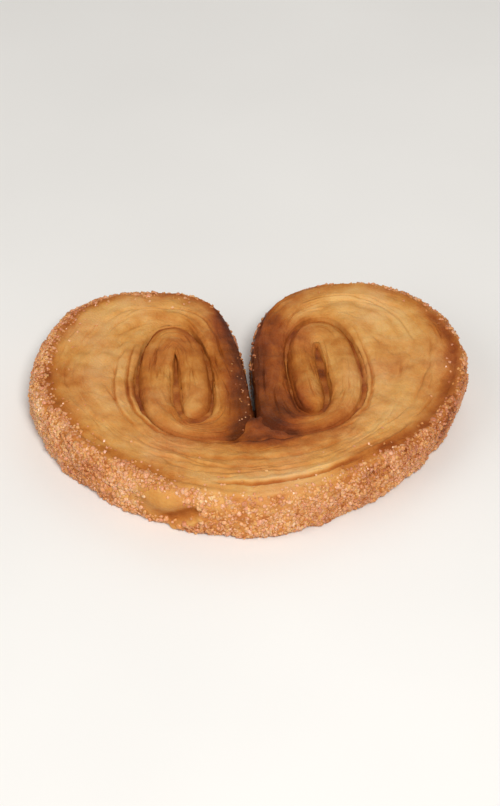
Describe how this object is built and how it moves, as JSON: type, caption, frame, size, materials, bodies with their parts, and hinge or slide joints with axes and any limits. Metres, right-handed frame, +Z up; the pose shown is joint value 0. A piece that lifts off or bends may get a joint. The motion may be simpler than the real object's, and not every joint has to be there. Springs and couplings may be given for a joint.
{
  "type": "palmier pastry",
  "caption": "Palmier: a slice of sugared puff pastry rolled from both ends into two scrolls, heart-shaped, baked golden with a sugar crust round its rim.",
  "frame": {"origin": "centre of the slice's box, on the plane it rests on", "axes": "+X across both scrolls, +Y from the rounded foot to the crowns where the cleft opens, +Z up out of the upper cut face"},
  "size_m": [0.08, 0.0644, 0.0104],
  "materials": {
    "baked_dough": "baked puff pastry, pale golden flaky layers on the cut faces, browner in the grooves, dull to satin",
    "sugar_crust": "granulated sugar baked onto the rim, half melted grains, amber to pale pinkish beige, slightly glossy"
  },
  "bodies": {
    "root": {"palmier": "baked_dough"}
  },
  "joints": []
}
